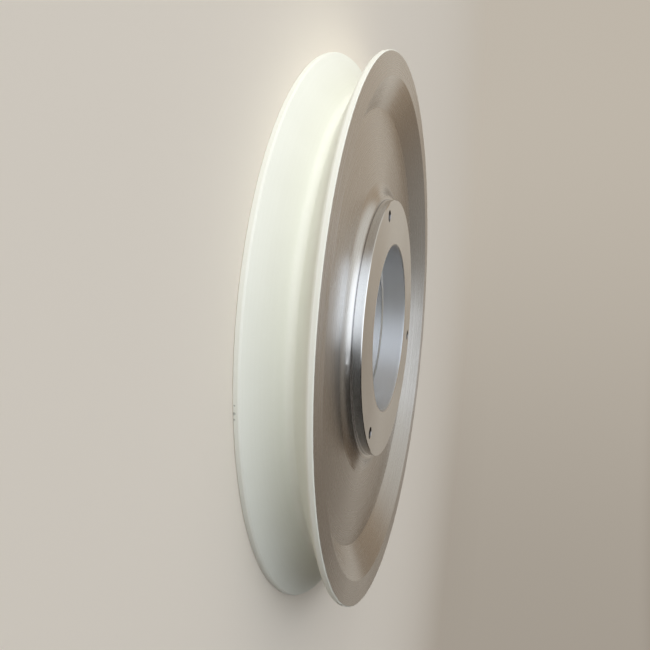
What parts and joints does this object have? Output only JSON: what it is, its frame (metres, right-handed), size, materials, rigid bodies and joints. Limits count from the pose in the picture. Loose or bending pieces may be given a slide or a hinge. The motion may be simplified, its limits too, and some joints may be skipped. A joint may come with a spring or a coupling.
{
  "type": "wire guide pulley",
  "caption": "Turned aluminium wire guide pulley with a white ceramic-coated V groove, a recessed web and a wide hub bore with tapped cover holes.",
  "frame": {"origin": "centre of the circle that the wheel rests on, on its axis, in the plane of the lower side ring", "axes": "+Z along the wheel's axis, out of the upper face; +Y through one of the cover holes"},
  "size_m": [0.25, 0.25, 0.026],
  "materials": {
    "turned_aluminium": "satin turned",
    "ceramic_coat": "matt sprayed"
  },
  "bodies": {
    "root": {"pulley_body": "turned_aluminium", "ceramic_coating": "ceramic_coat"}
  },
  "joints": []
}
